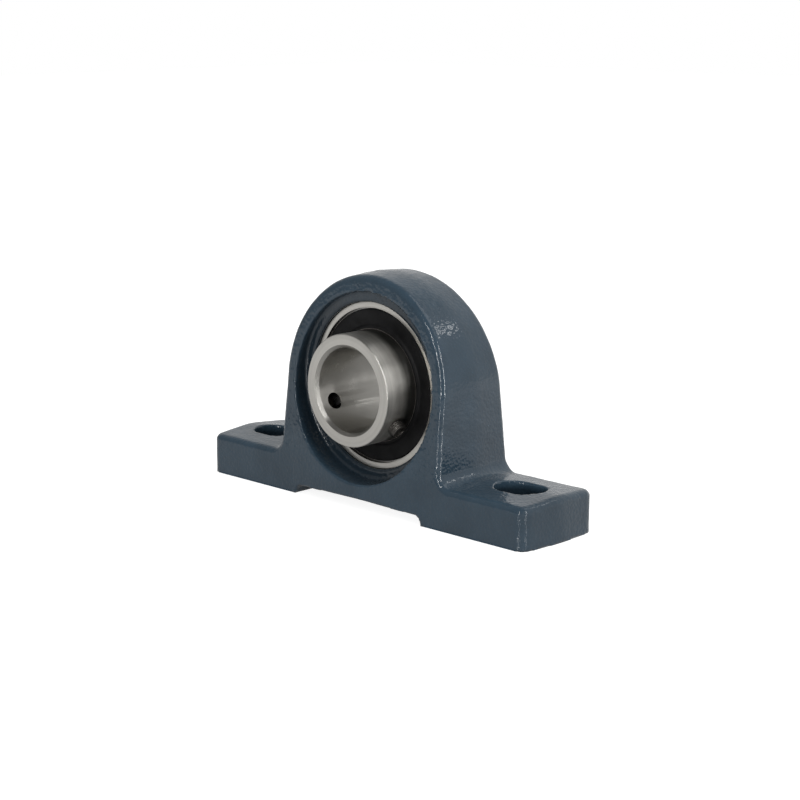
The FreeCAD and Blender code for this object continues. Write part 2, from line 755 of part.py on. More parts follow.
def build_set_screw(number, angle):
    """A socket set screw with a cup point, its axis along its own Y before it is placed."""
    name = f"set_screw_{number}"
    body = new_body(name)
    radius = size["ScrewRadius"]
    length = size["ScrewLength"]
    tip = size["ScrewTipRadius"]
    bevel = size["ScrewBevel"]
    sketch = new_sketch(body, f"{name}_profile", "XY_Plane")
    outline(sketch, [(0, size["ScrewCup"]), (tip, 0), (radius, radius - tip), (radius, length - bevel),
                     (radius - bevel, length), (0, length)])
    revolve(body, f"{name}_turned", sketch)
    socket = new_sketch(body, f"{name}_socket_outline", "XZ_Plane", -length)
    across = size["ScrewSocket"]
    outline(socket, [(across * cosine(60 * corner), across * sine(60 * corner))
                     for corner in range(6)])
    pocket = body.newObject("PartDesign::Pocket", f"{name}_socket")
    pocket.Profile = socket
    pocket.Reversed = True
    bind(pocket, "Length", size["ScrewSocketDepth"])
    start = size["BoreRadius"] + size["ScrewTipClear"]
    body.Placement = FreeCAD.Placement(
        FreeCAD.Vector(0, 0, 0),
        FreeCAD.Rotation(FreeCAD.Vector(0, 1, 0), -angle.value)
        * FreeCAD.Rotation(FreeCAD.Vector(0, 0, 1), -90))
    bind(body, "Placement.Base.x", start * cosine(angle))
    bind(body, "Placement.Base.y", screw_axial())
    bind(body, "Placement.Base.z", size["ShaftHeight"] + start * sine(angle))
    return body


def build_locating_pin():
    """A round pin that keeps the outer ring from creeping round in its seat."""
    body = new_body("locating_pin")
    radius = size["PinRadius"]
    bevel = size["PinBevel"]
    inner = size["PinInner"]
    outer = size["PinOuter"]
    sketch = new_sketch(body, "PinProfile", "XY_Plane")
    outline(sketch, [(0, inner), (radius - bevel, inner), (radius, inner + bevel),
                     (radius, outer - bevel), (radius - bevel, outer), (0, outer)])
    revolve(body, "PinTurned", sketch)
    body.Placement = FreeCAD.Placement(FreeCAD.Vector(0, 0, 0),
                                       FreeCAD.Rotation(FreeCAD.Vector(0, 0, 1), -90))
    lift_to_shaft(body)
    return body


# Build, check and write every piece

pieces = [build_housing(), build_outer_ring(), build_inner_ring()]
pieces += build_balls()
pieces += build_cage()
pieces.append(build_rivets())
pieces += build_seal("front", -1)
pieces += build_seal("rear", 1)
for screw_number, screw_angle in enumerate(screw_angles(), start=1):
    pieces.append(build_set_screw(screw_number, screw_angle))
pieces.append(build_locating_pin())
doc.recompute()

for thing in doc.Objects:
    if "Invalid" in thing.State or "Error" in thing.State:
        raise RuntimeError(f"{thing.Name} could not be computed: {thing.State}")

os.makedirs("parts", exist_ok=True)
for piece in pieces:
    shape = piece.Shape
    if shape.isNull() or not shape.isValid():
        raise RuntimeError(f"{piece.Label} has no valid shape")
    print(f"{piece.Label}: {shape.Volume:.1f} mm3, {len(shape.Solids)} solid")
    shape.exportStep(os.path.join("parts", f"{piece.Label}.step"))
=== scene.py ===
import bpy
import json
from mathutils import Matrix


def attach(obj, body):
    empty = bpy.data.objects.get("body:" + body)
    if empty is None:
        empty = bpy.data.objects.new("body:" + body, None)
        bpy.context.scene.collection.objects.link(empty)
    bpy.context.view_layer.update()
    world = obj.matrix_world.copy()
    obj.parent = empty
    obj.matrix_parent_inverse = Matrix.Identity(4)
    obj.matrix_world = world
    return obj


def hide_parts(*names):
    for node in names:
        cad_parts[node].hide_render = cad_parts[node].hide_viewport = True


bl_info = {
    "name": "Pillow Block Bearing",
    "version": (1, 0, 0),
    "blender": (4, 5, 0),
    "location": "3D View > Sidebar > Bearing",
    "description": "Dresses the packed pillow block bearing: cast housing, turned rings, "
                   "seals and set screws",
    "category": "Object",
}

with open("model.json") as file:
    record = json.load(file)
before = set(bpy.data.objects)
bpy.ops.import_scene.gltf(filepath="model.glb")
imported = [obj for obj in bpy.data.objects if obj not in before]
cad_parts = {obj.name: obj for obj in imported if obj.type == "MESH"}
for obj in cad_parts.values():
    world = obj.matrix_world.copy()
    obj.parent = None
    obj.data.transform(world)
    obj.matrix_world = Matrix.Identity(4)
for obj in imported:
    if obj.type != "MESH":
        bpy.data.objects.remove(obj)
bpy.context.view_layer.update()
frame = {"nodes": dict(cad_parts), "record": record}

import json
import math

import bpy
from mathutils import Vector, noise

MM = 0.001
MERGE_DISTANCE = MM / 2000
NODES = frame["nodes"]
MOUNTS = {mount["name"]: mount for mount in frame["record"]["mounts"]}
SLOTS = MOUNTS["foot_slots"]["dims"]
SHAFT_HEIGHT = MOUNTS["shaft_bore"]["pos_m"][2]
BALL_COUNT = 9

# In millimetres: the bore, the ball grooves in section, and a set screw's place along the
# shaft and its point's distance from the shaft's axis
BORE_RADIUS = MOUNTS["shaft_bore"]["dims"]["r_mm"]
BALL_GROOVE_RADIUS = 4.95
SCREW_ALONG = -15.2
SCREW_POINT = 17.2

# In millimetres: a bolt slot's half width, its middle's distance from the block's, and half
# of its straight part
SLOT_RADIUS = SLOTS["hole_r_mm"]
SLOT_CENTRE = SLOTS["spacing_x_mm"] / 2
SLOT_HALF_STRAIGHT = SLOTS["slot_length_mm"] / 2 - SLOT_RADIUS

# Degrees round the shaft, from X towards Z
SCREW_TURNS = (-34.0, -154.0)


# Sizes and colours that a user would change

class BearingSizes(bpy.types.PropertyGroup):
    skin_grain: bpy.props.FloatProperty(
        name="Skin grain", description="Mesh size of the casting's skin",
        default=0.62 * MM, unit="LENGTH")
    skin_relief: bpy.props.FloatProperty(
        name="Skin relief", description="Height of the pebbles that the sand mould leaves",
        default=0.06 * MM, unit="LENGTH")
    skin_wave: bpy.props.FloatProperty(
        name="Skin wave", description="Height of the casting's slow unevenness",
        default=0.16 * MM, unit="LENGTH")
    ring_steps: bpy.props.IntProperty(
        name="Ring steps", description="Faces round each turned ring", default=256, min=64)
    thread_pitch: bpy.props.FloatProperty(
        name="Thread pitch", description="Pitch of the set screws' thread",
        default=0.75 * MM, unit="LENGTH")
    camera_turn: bpy.props.FloatProperty(
        name="Camera turn", description="Camera's angle round the block, from straight in front",
        default=math.radians(44.396), subtype="ANGLE")
    camera_rise: bpy.props.FloatProperty(
        name="Camera rise", description="Camera's angle above the floor",
        default=math.radians(12.171), subtype="ANGLE")
    camera_lens: bpy.props.FloatProperty(
        name="Lens", description="Focal length in millimetres on a 36 mm sensor",
        default=85.36)


class BearingColours(bpy.types.PropertyGroup):
    paint: bpy.props.FloatVectorProperty(
        name="Paint", description="Blue-grey enamel of the housing",
        subtype="COLOR", size=3, default=(0.023, 0.042, 0.061))
    steel: bpy.props.FloatVectorProperty(
        name="Ring steel", description="Ground steel of both rings",
        subtype="COLOR", size=3, default=(0.56, 0.545, 0.51))
    rubber: bpy.props.FloatVectorProperty(
        name="Rubber", description="Black rubber of the seals",
        subtype="COLOR", size=3, default=(0.005, 0.005, 0.0053))
    screw: bpy.props.FloatVectorProperty(
        name="Screws", description="Black oxide of the set screws",
        subtype="COLOR", size=3, default=(0.085, 0.080, 0.074))
    floor: bpy.props.FloatVectorProperty(
        name="Floor", description="Pale studio floor",
        subtype="COLOR", size=3, default=(0.30, 0.30, 0.30))


# Shared modelling steps

def deselect():
    """Leave edit mode and let go of everything."""
    if bpy.context.object and bpy.context.object.mode != "OBJECT":
        bpy.ops.object.mode_set(mode="OBJECT")
    bpy.ops.object.select_all(action="DESELECT")


def pick(piece):
    """Make one piece the only selected and active one."""
    deselect()
    piece.select_set(True)
    bpy.context.view_layer.objects.active = piece


def place_in_mesh(piece):
    """Put the piece's place and turn into its mesh."""
    pick(piece)
    bpy.ops.object.transform_apply(location=True, rotation=True, scale=True)


def close_mesh(piece):
    """Merge doubled points and turn all faces outwards."""
    pick(piece)
    bpy.ops.object.mode_set(mode="EDIT")
    bpy.ops.mesh.select_all(action="SELECT")
    bpy.ops.mesh.remove_doubles(threshold=MERGE_DISTANCE)
    bpy.ops.mesh.normals_make_consistent(inside=False)
    bpy.ops.object.mode_set(mode="OBJECT")


def use_modifier(piece, kind, name, **settings):
    """Add a modifier, set it up and apply it."""
    pick(piece)
    modifier = piece.modifiers.new(name, kind)
    for key, value in settings.items():
        setattr(modifier, key, value)
    bpy.ops.object.modifier_apply(modifier=modifier.name)


def soften_edges(piece, width, angle=25):
    """Break the edges sharper than an angle by a width in millimetres, as tumbling does."""
    use_modifier(piece, "BEVEL", "Edges", width=width * MM, segments=2, limit_method="ANGLE",
                 angle_limit=math.radians(angle), profile=0.5, use_clamp_overlap=True)


def shade(piece, angle):
    """Shade the piece smooth across edges flatter than an angle in degrees."""
    pick(piece)
    bpy.ops.object.shade_smooth_by_angle(angle=math.radians(angle))


def turned(name, profile, steps, about="Y"):
    """Spin a closed profile of (radius, along) points in millimetres about an axis.

    About Y, the axis is the shaft's. About X, the profile's axis is X through the origin.
    """
    across = Vector((0, 0, 1)) if about == "X" else Vector((1, 0, 0))
    along = Vector((1, 0, 0)) if about == "X" else Vector((0, 1, 0))
    centre = Vector((0, 0, 0)) if about == "X" else Vector((0, 0, SHAFT_HEIGHT))
    points = [centre + (across * radius + along * place) * MM for radius, place in profile]
    deselect()
    bpy.ops.mesh.primitive_plane_add(size=MM, location=points[0])
    piece = bpy.context.object
    piece.name = piece.data.name = name
    place_in_mesh(piece)
    bpy.ops.object.mode_set(mode="EDIT")
    bpy.ops.mesh.select_all(action="SELECT")
    bpy.ops.mesh.merge(type="CENTER")
    for before, after in zip(points, points[1:] + points[:1]):
        bpy.ops.mesh.extrude_vertices_move(TRANSFORM_OT_translate={"value": after - before})
    bpy.ops.mesh.select_all(action="SELECT")
    bpy.ops.mesh.remove_doubles(threshold=MERGE_DISTANCE)
    bpy.ops.mesh.select_all(action="SELECT")
    bpy.ops.mesh.spin(steps=steps, angle=math.tau, center=centre, axis=along)
    bpy.ops.object.mode_set(mode="OBJECT")
    close_mesh(piece)
    return piece


def arc(centre, radius, start, finish, count=24):
    """Points of a profile arc about (radius, along), angles in degrees from outwards."""
    points = []
    for number in range(count + 1):
        angle = math.radians(start + (finish - start) * number / count)
        points.append((centre[0] + radius * math.cos(angle),
                       centre[1] + radius * math.sin(angle)))
    return points


def thread(low, high, start, end, pitch, flanks):
    """Profile points of a thread between two radii.

    The flanks are shares of the pitch: where each crest starts to rise, is up, starts to
    fall and is down.
    """
    points = []
    along = start
    while along < end:
        points += [(radius, along + pitch * share)
                   for radius, share in zip((low, high, high, low), flanks)]
        along += pitch
    return points


def cut_away(piece, tool):
    """Subtract the tool from the piece and remove it."""
    use_modifier(piece, "BOOLEAN", "Cut", operation="DIFFERENCE", solver="EXACT", object=tool)
    bpy.data.objects.remove(tool)


def stand_for(piece, body, slot, *nodes):
    """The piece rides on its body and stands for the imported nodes."""
    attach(piece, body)
    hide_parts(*nodes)


def radial_place(piece, turn, from_axis, along):
    """Turn a piece modelled along X to a direction round the shaft, at its distances."""
    angle = math.radians(turn)
    piece.rotation_euler = (0, -angle, 0)
    piece.location = (from_axis * MM * math.cos(angle), along * MM,
                      SHAFT_HEIGHT + from_axis * MM * math.sin(angle))
    place_in_mesh(piece)


# Node trees

def feed(tree, socket, value):
    """Give a socket another node's output or a value; a colour gets its alpha here."""
    if isinstance(value, bpy.types.NodeSocket):
        tree.links.new(value, socket)
    elif socket.type == "RGBA":
        socket.default_value = (*value, 1)
    else:
        socket.default_value = value


def add_node(tree, kind, feeds=None, **settings):
    """Add a node and set it up.

    Feeds go to its sockets by number. Settings go to its sockets by name, with _ for each
    space, or else they are the node's own.
    """
    made = tree.nodes.new(kind)
    for key, value in settings.items():
        name = key.replace("_", " ")
        if name in made.inputs:
            feed(tree, made.inputs[name], value)
        else:
            setattr(made, key, value)
    for number, value in (feeds or {}).items():
        feed(tree, made.inputs[number], value)
    return made


def calculate(tree, operation, first, second=0.0):
    """The result of one operation on numbers or sockets."""
    made = add_node(tree, "ShaderNodeMath", {0: first, 1: second}, operation=operation)
    return made.outputs["Value"]


# Materials

# Between these values lies nearly all of a noise
NOISE_RUN = (0.3, 0.7)


class Finish:
    """A procedural material, built node by node."""

    def __init__(self, name, colour, roughness, metallic=0.0, **sockets):
        self.material = bpy.data.materials.new(name)
        self.material.use_nodes = True
        self.tree = self.material.node_tree
        self.shader = self.tree.nodes["Principled BSDF"]
        self.set("Base Color", colour)
        self.set("Roughness", roughness)
        self.set("Metallic", metallic)
        for socket, value in sockets.items():
            self.set(socket.replace("_", " "), value)
        self.material.diffuse_color = (*colour, 1)
        self.place = self.node("ShaderNodeTexCoord").outputs["Object"]

    def set(self, socket, value):
        """Give the shader's socket a value or another node's output."""
        feed(self.tree, self.shader.inputs[socket], value)

    def node(self, kind, feeds=None, **settings):
        """Add a node to this material."""
        return add_node(self.tree, kind, feeds, **settings)

    def calculate(self, operation, first, second=0.0):
        """Add one operation to this material."""
        return calculate(self.tree, operation, first, second)

    def speckle(self, per_metre, detail=4.0, roughness=0.55, source=None):
        """Noise over the surface, by the number of its features per metre."""
        made = self.node("ShaderNodeTexNoise", Vector=source or self.place, Scale=per_metre,
                         Detail=detail, Roughness=roughness)
        return made.outputs["Fac"]

    def pebbles(self, per_metre, smoothness):
        """Rounded grains over the surface, pushed about so that they lie in no pattern."""
        push_per_metre = per_metre * 0.7
        push_reach = 0.6 / per_metre
        push = self.node("ShaderNodeTexNoise", Vector=self.place, Scale=push_per_metre)
        reach = self.node("ShaderNodeVectorMath", {0: push.outputs["Color"]},
                          operation="SCALE", Scale=push_reach)
        moved = self.node("ShaderNodeVectorMath", {0: self.place, 1: reach.outputs["Vector"]},
                          operation="ADD")
        made = self.node("ShaderNodeTexVoronoi", feature="SMOOTH_F1",
                         Vector=moved.outputs["Vector"], Scale=per_metre, Smoothness=smoothness)
        return made.outputs["Distance"]

    def ramp(self, source, stops):
        """Map a value through stops of (position, grey)."""
        made = self.node("ShaderNodeValToRGB", Fac=source)
        elements = made.color_ramp.elements
        while len(elements) < len(stops):
            elements.new(0.5)
        for element, (position, grey) in zip(elements, stops):
            element.position = position
            element.color = (grey, grey, grey, 1)
        return made.outputs["Color"]

    def span(self, value, low, high, start, end):
        """Run from low to high while a value runs from start to end, and stay there."""
        made = self.node("ShaderNodeMapRange", Value=value, From_Min=start, From_Max=end,
                         To_Min=low, To_Max=high)
        return made.outputs["Result"]

    def vary(self, speckle, low=0, high=1):
        """Spread the usual run of a noise over two levels."""
        return self.span(speckle, low, high, *NOISE_RUN)

    def before(self, place, start, end):
        """1 up to the start and 0 from the end on, both in millimetres."""
        return self.span(place, 1, 0, start * MM, end * MM)

    def beyond(self, place, start, end):
        """0 up to the start and 1 from the end on, both in millimetres."""
        return self.span(place, 0, 1, start * MM, end * MM)

    def blend(self, factor, first, second):
        """Mix two colours by a factor."""
        made = self.node("ShaderNodeMix", {0: factor, 6: first, 7: second}, data_type="RGBA")
        return made.outputs[2]

    def bump(self, height, depth, strength=1.0, after=None, coat=False):
        """Raise the surface by a height map of the given depth in millimetres."""
        made = self.node("ShaderNodeBump", Height=height, Distance=depth * MM,
                         Strength=strength)
        if after is not None:
            feed(self.tree, made.inputs["Normal"], after)
        self.set("Normal", made.outputs["Normal"])
        if coat:
            self.set("Coat Normal", made.outputs["Normal"])
        return made.outputs["Normal"]

    def axes(self):
        """The place's outputs X, Y and Z."""
        return self.node("ShaderNodeSeparateXYZ", Vector=self.place).outputs

    def distance(self, first, second):
        """Length of the diagonal over two sides."""
        squares = [self.calculate("MULTIPLY", side, side) for side in (first, second)]
        return self.calculate("SQRT", self.calculate("ADD", *squares))

    def shaft_radius(self):
        """Distance from the shaft's axis, and the place along it."""
        axes = self.axes()
        up = self.calculate("SUBTRACT", axes["Z"], SHAFT_HEIGHT)
        return self.distance(axes["X"], up), axes["Y"]

    def turning_marks(self, per_metre, detail):
        """Noise that only changes across the tool's path, so it runs round the shaft."""
        radius, along = self.shaft_radius()
        place = self.node("ShaderNodeCombineXYZ", X=radius, Y=along)
        return self.speckle(per_metre, detail, source=place.outputs["Vector"])

    def steel_tone(self, base):
        """A colour with the faint broad bands that turning leaves."""
        bands = self.vary(self.turning_marks(per_metre=900, detail=4))
        return self.blend(bands, tint(base, 0.90), tint(base, 1.06))


def tint(colour, factor, lift=0.0):
    """A darker or lighter colour, with no channel above 1."""
    return tuple(min(1.0, channel * factor + lift) for channel in colour)


def painted_shade_in_recess_and_slots(finish):
    """Share of painted shade over the enamel, in the recess round the insert and in the bolt
    slots.

    Each pair of millimetres is where the shade starts or ends and where it is full or gone.
    """
    most = 0.9
    recess_wall, recess_depth = (33.4, 34.0), (0.2, 2.2)
    slot_wall, foot_top = (SLOT_RADIUS + 0.2, SLOT_RADIUS + 0.7), (12.6, 14.4)
    half_depth, lean_start, lean = 18.1, 15.4, math.tan(math.radians(5.9))
    axes = finish.axes()
    radius, along = finish.shaft_radius()
    face = finish.calculate("SUBTRACT", (half_depth + lean_start * lean) * MM,
                            finish.calculate("MULTIPLY", axes["Z"], lean))
    depth = finish.calculate("SUBTRACT", face, finish.calculate("ABSOLUTE", along))
    recess = finish.calculate("MULTIPLY", finish.before(radius, *recess_wall),
                              finish.beyond(depth, *recess_depth))
    from_slot = finish.calculate("ABSOLUTE", finish.calculate(
        "SUBTRACT", finish.calculate("ABSOLUTE", axes["X"]), SLOT_CENTRE * MM))
    past_straight = finish.calculate("MAXIMUM", finish.calculate(
        "SUBTRACT", from_slot, SLOT_HALF_STRAIGHT * MM))
    from_middle = finish.distance(past_straight, along)
    slot = finish.calculate("MULTIPLY", finish.before(from_middle, *slot_wall),
                            finish.before(axes["Z"], *foot_top))
    return finish.calculate("MULTIPLY", finish.calculate("MAXIMUM", recess, slot), most)


def enamel(colours):
    """Blue-grey enamel over a sand-cast skin, coarser on the feet than above them."""
    base = tuple(colours.paint)
    finish = Finish("Enamel on cast iron", base, roughness=0.42, IOR=1.5,
                    Specular_IOR_Level=0.08, Coat_Weight=0.95, Coat_Roughness=0.07,
                    Coat_IOR=1.5)
    coarse_end, fine_start = 24 * MM, 34 * MM
    cloud = finish.vary(finish.speckle(per_metre=70, detail=3))
    tone = finish.blend(cloud, tint(base, 0.86), tint(base, 1.13))
    fleck = finish.ramp(finish.speckle(per_metre=900, detail=5, roughness=0.6),
                        [(0.0, 0.0), (0.66, 0.0), (0.80, 0.35), (1.0, 0.5)])
    skin = finish.blend(fleck, tone, tint(base, 1.5, 0.01))
    # Painted shade: the enamel darkened to a third of its colour in the recess round the insert
    # and in the bolt slots.
    finish.set("Base Color", finish.blend(painted_shade_in_recess_and_slots(finish), skin, tint(base, 0.34)))
    finish.set("Roughness", finish.vary(finish.speckle(per_metre=260), 0.28, 0.40))
    coarse = finish.span(finish.axes()["Z"], 1.5, 1.0, coarse_end, fine_start)
    grit = finish.calculate("MULTIPLY", finish.pebbles(per_metre=900, smoothness=0.7), coarse)
    pebble = finish.bump(grit, depth=0.072, coat=True)
    finish.bump(finish.speckle(per_metre=1700, detail=2, roughness=0.5), depth=0.020,
                after=pebble, coat=True)
    return finish.material


def ground_steel(colours, name, roughness, bore_roughness):
    """Hardened steel ground round the shaft.

    The bore is finer, and painted shade darkens its steel. Painted shade also darkens the
    outside by the seal and paints the walls of the threaded holes near black. Each pair of
    millimetres is where a change starts and ends.
    """
    seal_side, outer_wall = (11.8, 14.4), (19.3, 19.7)
    bore_mouth = (BORE_RADIUS + 1.15, BORE_RADIUS + 1.3)
    wall_start, wall_end = (BORE_RADIUS + 0.01, BORE_RADIUS + 0.03), (19.5, 19.7)
    hole_edge = (3.2, 3.4)
    fine_end, coarse_start = (BORE_RADIUS + 0.2) * MM, (BORE_RADIUS + 1.0) * MM
    base = tint(colours.steel, 0.98)
    finish = Finish(name, base, roughness, metallic=1.0, Anisotropic=0.9,
                    Anisotropic_Rotation=0.25)
    tangent = finish.node("ShaderNodeTangent", direction_type="RADIAL", axis="Y")
    finish.set("Tangent", tangent.outputs["Tangent"])
    radius, along = finish.shaft_radius()
    painted_shade_by_seal = finish.calculate("MULTIPLY",
                               finish.before(finish.calculate("ABSOLUTE", along), *seal_side),
                               finish.beyond(radius, *outer_wall))
    painted_shade_in_bore = finish.before(radius, *bore_mouth)
    in_wall = finish.calculate("MULTIPLY", finish.beyond(radius, *wall_start),
                               finish.before(radius, *wall_end))
    from_hole = finish.calculate("ABSOLUTE", finish.calculate(
        "SUBTRACT", along, SCREW_ALONG * MM))
    painted_shade_in_holes = finish.calculate("MULTIPLY", in_wall, finish.before(from_hole, *hole_edge))
    # Painted shade: the outside by the seal at a quarter of the steel's colour, and the bore at
    # three quarters.
    tone = finish.blend(painted_shade_by_seal, finish.steel_tone(base), tint(base, 0.25))
    tone = finish.blend(painted_shade_in_bore, tone, tint(base, 0.73))
    # Painted shade: the walls of the threaded holes painted near black.
    finish.set("Base Color", finish.blend(painted_shade_in_holes, tone, (0.012, 0.012, 0.012)))
    close = finish.turning_marks(per_metre=7000, detail=2)
    level = finish.span(radius, bore_roughness, roughness, fine_end, coarse_start)
    uneven = finish.calculate("ADD", finish.vary(finish.speckle(per_metre=180), -0.04, 0.05),
                              finish.vary(close, -0.03, 0.04))
    finish.set("Roughness", finish.calculate("ADD", level, uneven))
    finish.bump(close, depth=0.0035, strength=0.6)
    return finish.material


def face_steel_painted_lighter(colours):
    """The rings' flat end faces, ground to an even sheen, in a lighter copy of the rings' steel
    as painted light.
    """
    # Painted light: the faces' steel is lighter than the steel of the round surfaces.
    base = tint(colours.steel, 1.12)
    finish = Finish("Ring face steel", base, roughness=0.36, metallic=1.0)
    finish.set("Base Color", finish.steel_tone(base))
    finish.set("Roughness", finish.vary(finish.speckle(per_metre=240), 0.32, 0.42))
    finish.bump(finish.turning_marks(per_metre=5200, detail=3), depth=0.004, strength=0.6)
    return finish.material


def seal_rubber(colours):
    """Moulded black rubber, slightly waxy, with a painted highlight along the lip."""
    base = tuple(colours.rubber)
    finish = Finish("Seal rubber", base, roughness=0.42, IOR=1.5, Specular_IOR_Level=0.1)
    lip_painted_highlight = (20.0, 20.12)
    cloud = finish.span(finish.speckle(per_metre=140), 0, 1, 0.35, 0.75)
    tone = finish.blend(cloud, base, tint(base, 1.9, 0.002))
    radius, _ = finish.shaft_radius()
    # Painted highlight: a pale ring of colour along the lip's edge.
    finish.set("Base Color", finish.blend(finish.before(radius, *lip_painted_highlight), tone,
                                          (0.16, 0.15, 0.14)))
    finish.set("Roughness", finish.vary(finish.speckle(per_metre=420), 0.34, 0.52))
    finish.bump(finish.speckle(per_metre=2600, detail=3), depth=0.012, strength=0.6)
    return finish.material


def black_oxide(colours):
    """Oiled black oxide on the set screws, rubbed bright in spots, with painted shade near black
    at the point.
    """
    base = tuple(colours.screw)
    finish = Finish("Black oxide", base, roughness=0.32, metallic=0.9)
    painted_shade_at_point = (SCREW_POINT + 0.8, SCREW_POINT + 1.8)
    wear = finish.ramp(finish.speckle(per_metre=1500, detail=5, roughness=0.65),
                       [(0.0, 0.0), (0.56, 0.0), (0.75, 0.6)])
    worn = finish.blend(wear, base, tint(base, 4, 0.03))
    radius, _ = finish.shaft_radius()
    # Painted shade: the point's end, down in its threaded hole, painted near black.
    finish.set("Base Color", finish.blend(finish.before(radius, *painted_shade_at_point), worn,
                                          (0.006, 0.005, 0.004)))
    finish.set("Roughness", finish.vary(finish.speckle(per_metre=800, detail=3), 0.28, 0.48))
    finish.bump(finish.speckle(per_metre=3500, detail=3), depth=0.010, strength=0.5)
    return finish.material


def pressed_steel():
    """Sheet steel of the cage and the seal plates, with faint rolling streaks."""
    base = (0.50, 0.49, 0.47)
    finish = Finish("Pressed sheet steel", base, roughness=0.34, metallic=1.0)
    streak = finish.vary(finish.speckle(per_metre=400))
    finish.set("Base Color", finish.blend(streak, (0.40, 0.39, 0.38), base))
    finish.set("Roughness", finish.vary(finish.speckle(per_metre=1200, detail=3), 0.28, 0.44))
    finish.bump(finish.speckle(per_metre=2400, detail=3), depth=0.006, strength=0.5)
    return finish.material


def polished_steel():
    """Lapped steel of the balls and the locating pin, with a film of oil."""
    base = (0.70, 0.70, 0.70)
    finish = Finish("Lapped steel", base, roughness=0.10, metallic=1.0)
    film = finish.span(finish.speckle(per_metre=300, detail=3), 0, 1, 0.35, 0.7)
    finish.set("Base Color", finish.blend(film, base, (0.62, 0.62, 0.60)))
    finish.set("Roughness", finish.vary(finish.speckle(per_metre=900, detail=3), 0.07, 0.16))
    finish.bump(finish.speckle(per_metre=5000, detail=2), depth=0.002, strength=0.4)
    return finish.material


def paint_piece(piece, material):
    """Give every face of a piece one material."""
    piece.data.materials.clear()
    piece.data.materials.append(material)


def paint_ring(ring, colours, round_steel):
    """One steel for the round surfaces and one for the faces square to the shaft."""
    square = 0.9
    paint_piece(ring, round_steel)
    ring.data.materials.append(face_steel_painted_lighter(colours))
    for face in ring.data.polygons:
        face.material_index = 1 if abs(face.normal.y) > square else 0


def paint_nodes(names, material):
    """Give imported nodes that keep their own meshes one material."""
    for name in names:
        node = NODES[name]
        if node.material_slots:
            for slot in node.material_slots:
                slot.link = "OBJECT"
                slot.material = material
        else:
            node.data.materials.append(material)


# Pieces

class BEARING_OT_cast_housing(bpy.types.Operator):
    """Skin the housing as a painted sand casting"""
    bl_idname = "bearing.cast_housing"
    bl_label = "Cast housing"

    def execute(self, context):
        sizes = context.scene.bearing_sizes
        source = NODES["housing"]
        casting = bpy.data.objects.new("housing_casting", source.data.copy())
        casting.data.name = "housing_casting"
        context.scene.collection.objects.link(casting)
        casting.data.materials.clear()
        close_mesh(casting)
        use_modifier(casting, "REMESH", "Skin", mode="VOXEL", voxel_size=sizes.skin_grain,
                     use_smooth_shade=True)
        use_modifier(casting, "SMOOTH", "Sand", factor=0.5, iterations=1)
        self.crisp_edges(casting)
        self.raise_skin(casting, sizes)
        paint_piece(casting, enamel(context.scene.bearing_colours))
        pick(casting)
        bpy.ops.object.shade_smooth()
        stand_for(casting, "housing", "painted_iron", "housing")
        return {"FINISHED"}

    def crisp_edges(self, casting):
        """Draw the roundings tighter, against a smoothed copy of the skin."""
        slack, gain = 0.02 * MM, 1.2
        soft = bpy.data.objects.new("soft_skin", casting.data.copy())
        bpy.context.scene.collection.objects.link(soft)
        use_modifier(soft, "SMOOTH", "Soft", factor=0.5, iterations=8)
        places = []
        for hard, smooth in zip(casting.data.vertices, soft.data.vertices):
            pull = hard.co - smooth.co
            spare = max(0.0, pull.length - slack)
            places.extend(hard.co + pull.normalized() * spare * gain)
        casting.data.vertices.foreach_set("co", places)
        casting.data.update()
        bpy.data.objects.remove(soft)

    def raise_skin(self, casting, sizes):
        """Lift the as-cast faces into pebbles and slow waves; seat and underside stay true."""
        seat_radius, seat_half_width = 31.6 * MM, 10.2 * MM
        true_height, fade_height, floor_height = 0.2 * MM, 0.8 * MM, 0.4 * MM
        wave_length, pebble_length, pebble_shift = 11 * MM, 1.9 * MM, Vector((7, 3, 5))
        dimension, lacunarity, octaves = 1.0, 2.0, 2
        mesh = casting.data
        outwards = [vertex.normal.copy() for vertex in mesh.vertices]
        places = []
        for vertex, normal in zip(mesh.vertices, outwards):
            place = vertex.co.copy()
            off_axis = math.hypot(place.x, place.z - SHAFT_HEIGHT)
            share = min(1.0, max(0.0, (place.z - true_height) / fade_height))
            if off_axis < seat_radius and abs(place.y) < seat_half_width:
                share = 0.0
            wave = noise.fractal(place / wave_length, dimension, lacunarity, octaves)
            pebble = noise.fractal(place / pebble_length + pebble_shift,
                                   dimension, lacunarity, octaves)
            rise = (wave * sizes.skin_wave + pebble * sizes.skin_relief) / 2
            place += normal * ((rise + self.fettled(place)) * share)
            if place.z < floor_height:
                place.z = 0.0
            places.extend(place)
        mesh.vertices.foreach_set("co", places)
        mesh.update()

    def fettled(self, place):
        """Rise and fall of the grinder's strokes, which took the flash off the crown's top."""
        depth, middle = 0.20 * MM, 0.25
        start, full, half_width = 62 * MM, 12 * MM, 9 * MM
        stroke_width, stroke_length, slant, seed = 1.5 * MM, 9 * MM, 0.55, 2.0
        if place.z <= start or abs(place.y) >= half_width:
            return 0.0
        near = (1 - abs(place.y) / half_width) * min(1.0, (place.z - start) / full)
        across = place.x + place.y * slant
        stroke = noise.noise(Vector((across / stroke_width, place.y / stroke_length, seed)))
        return near * (stroke - middle) * depth


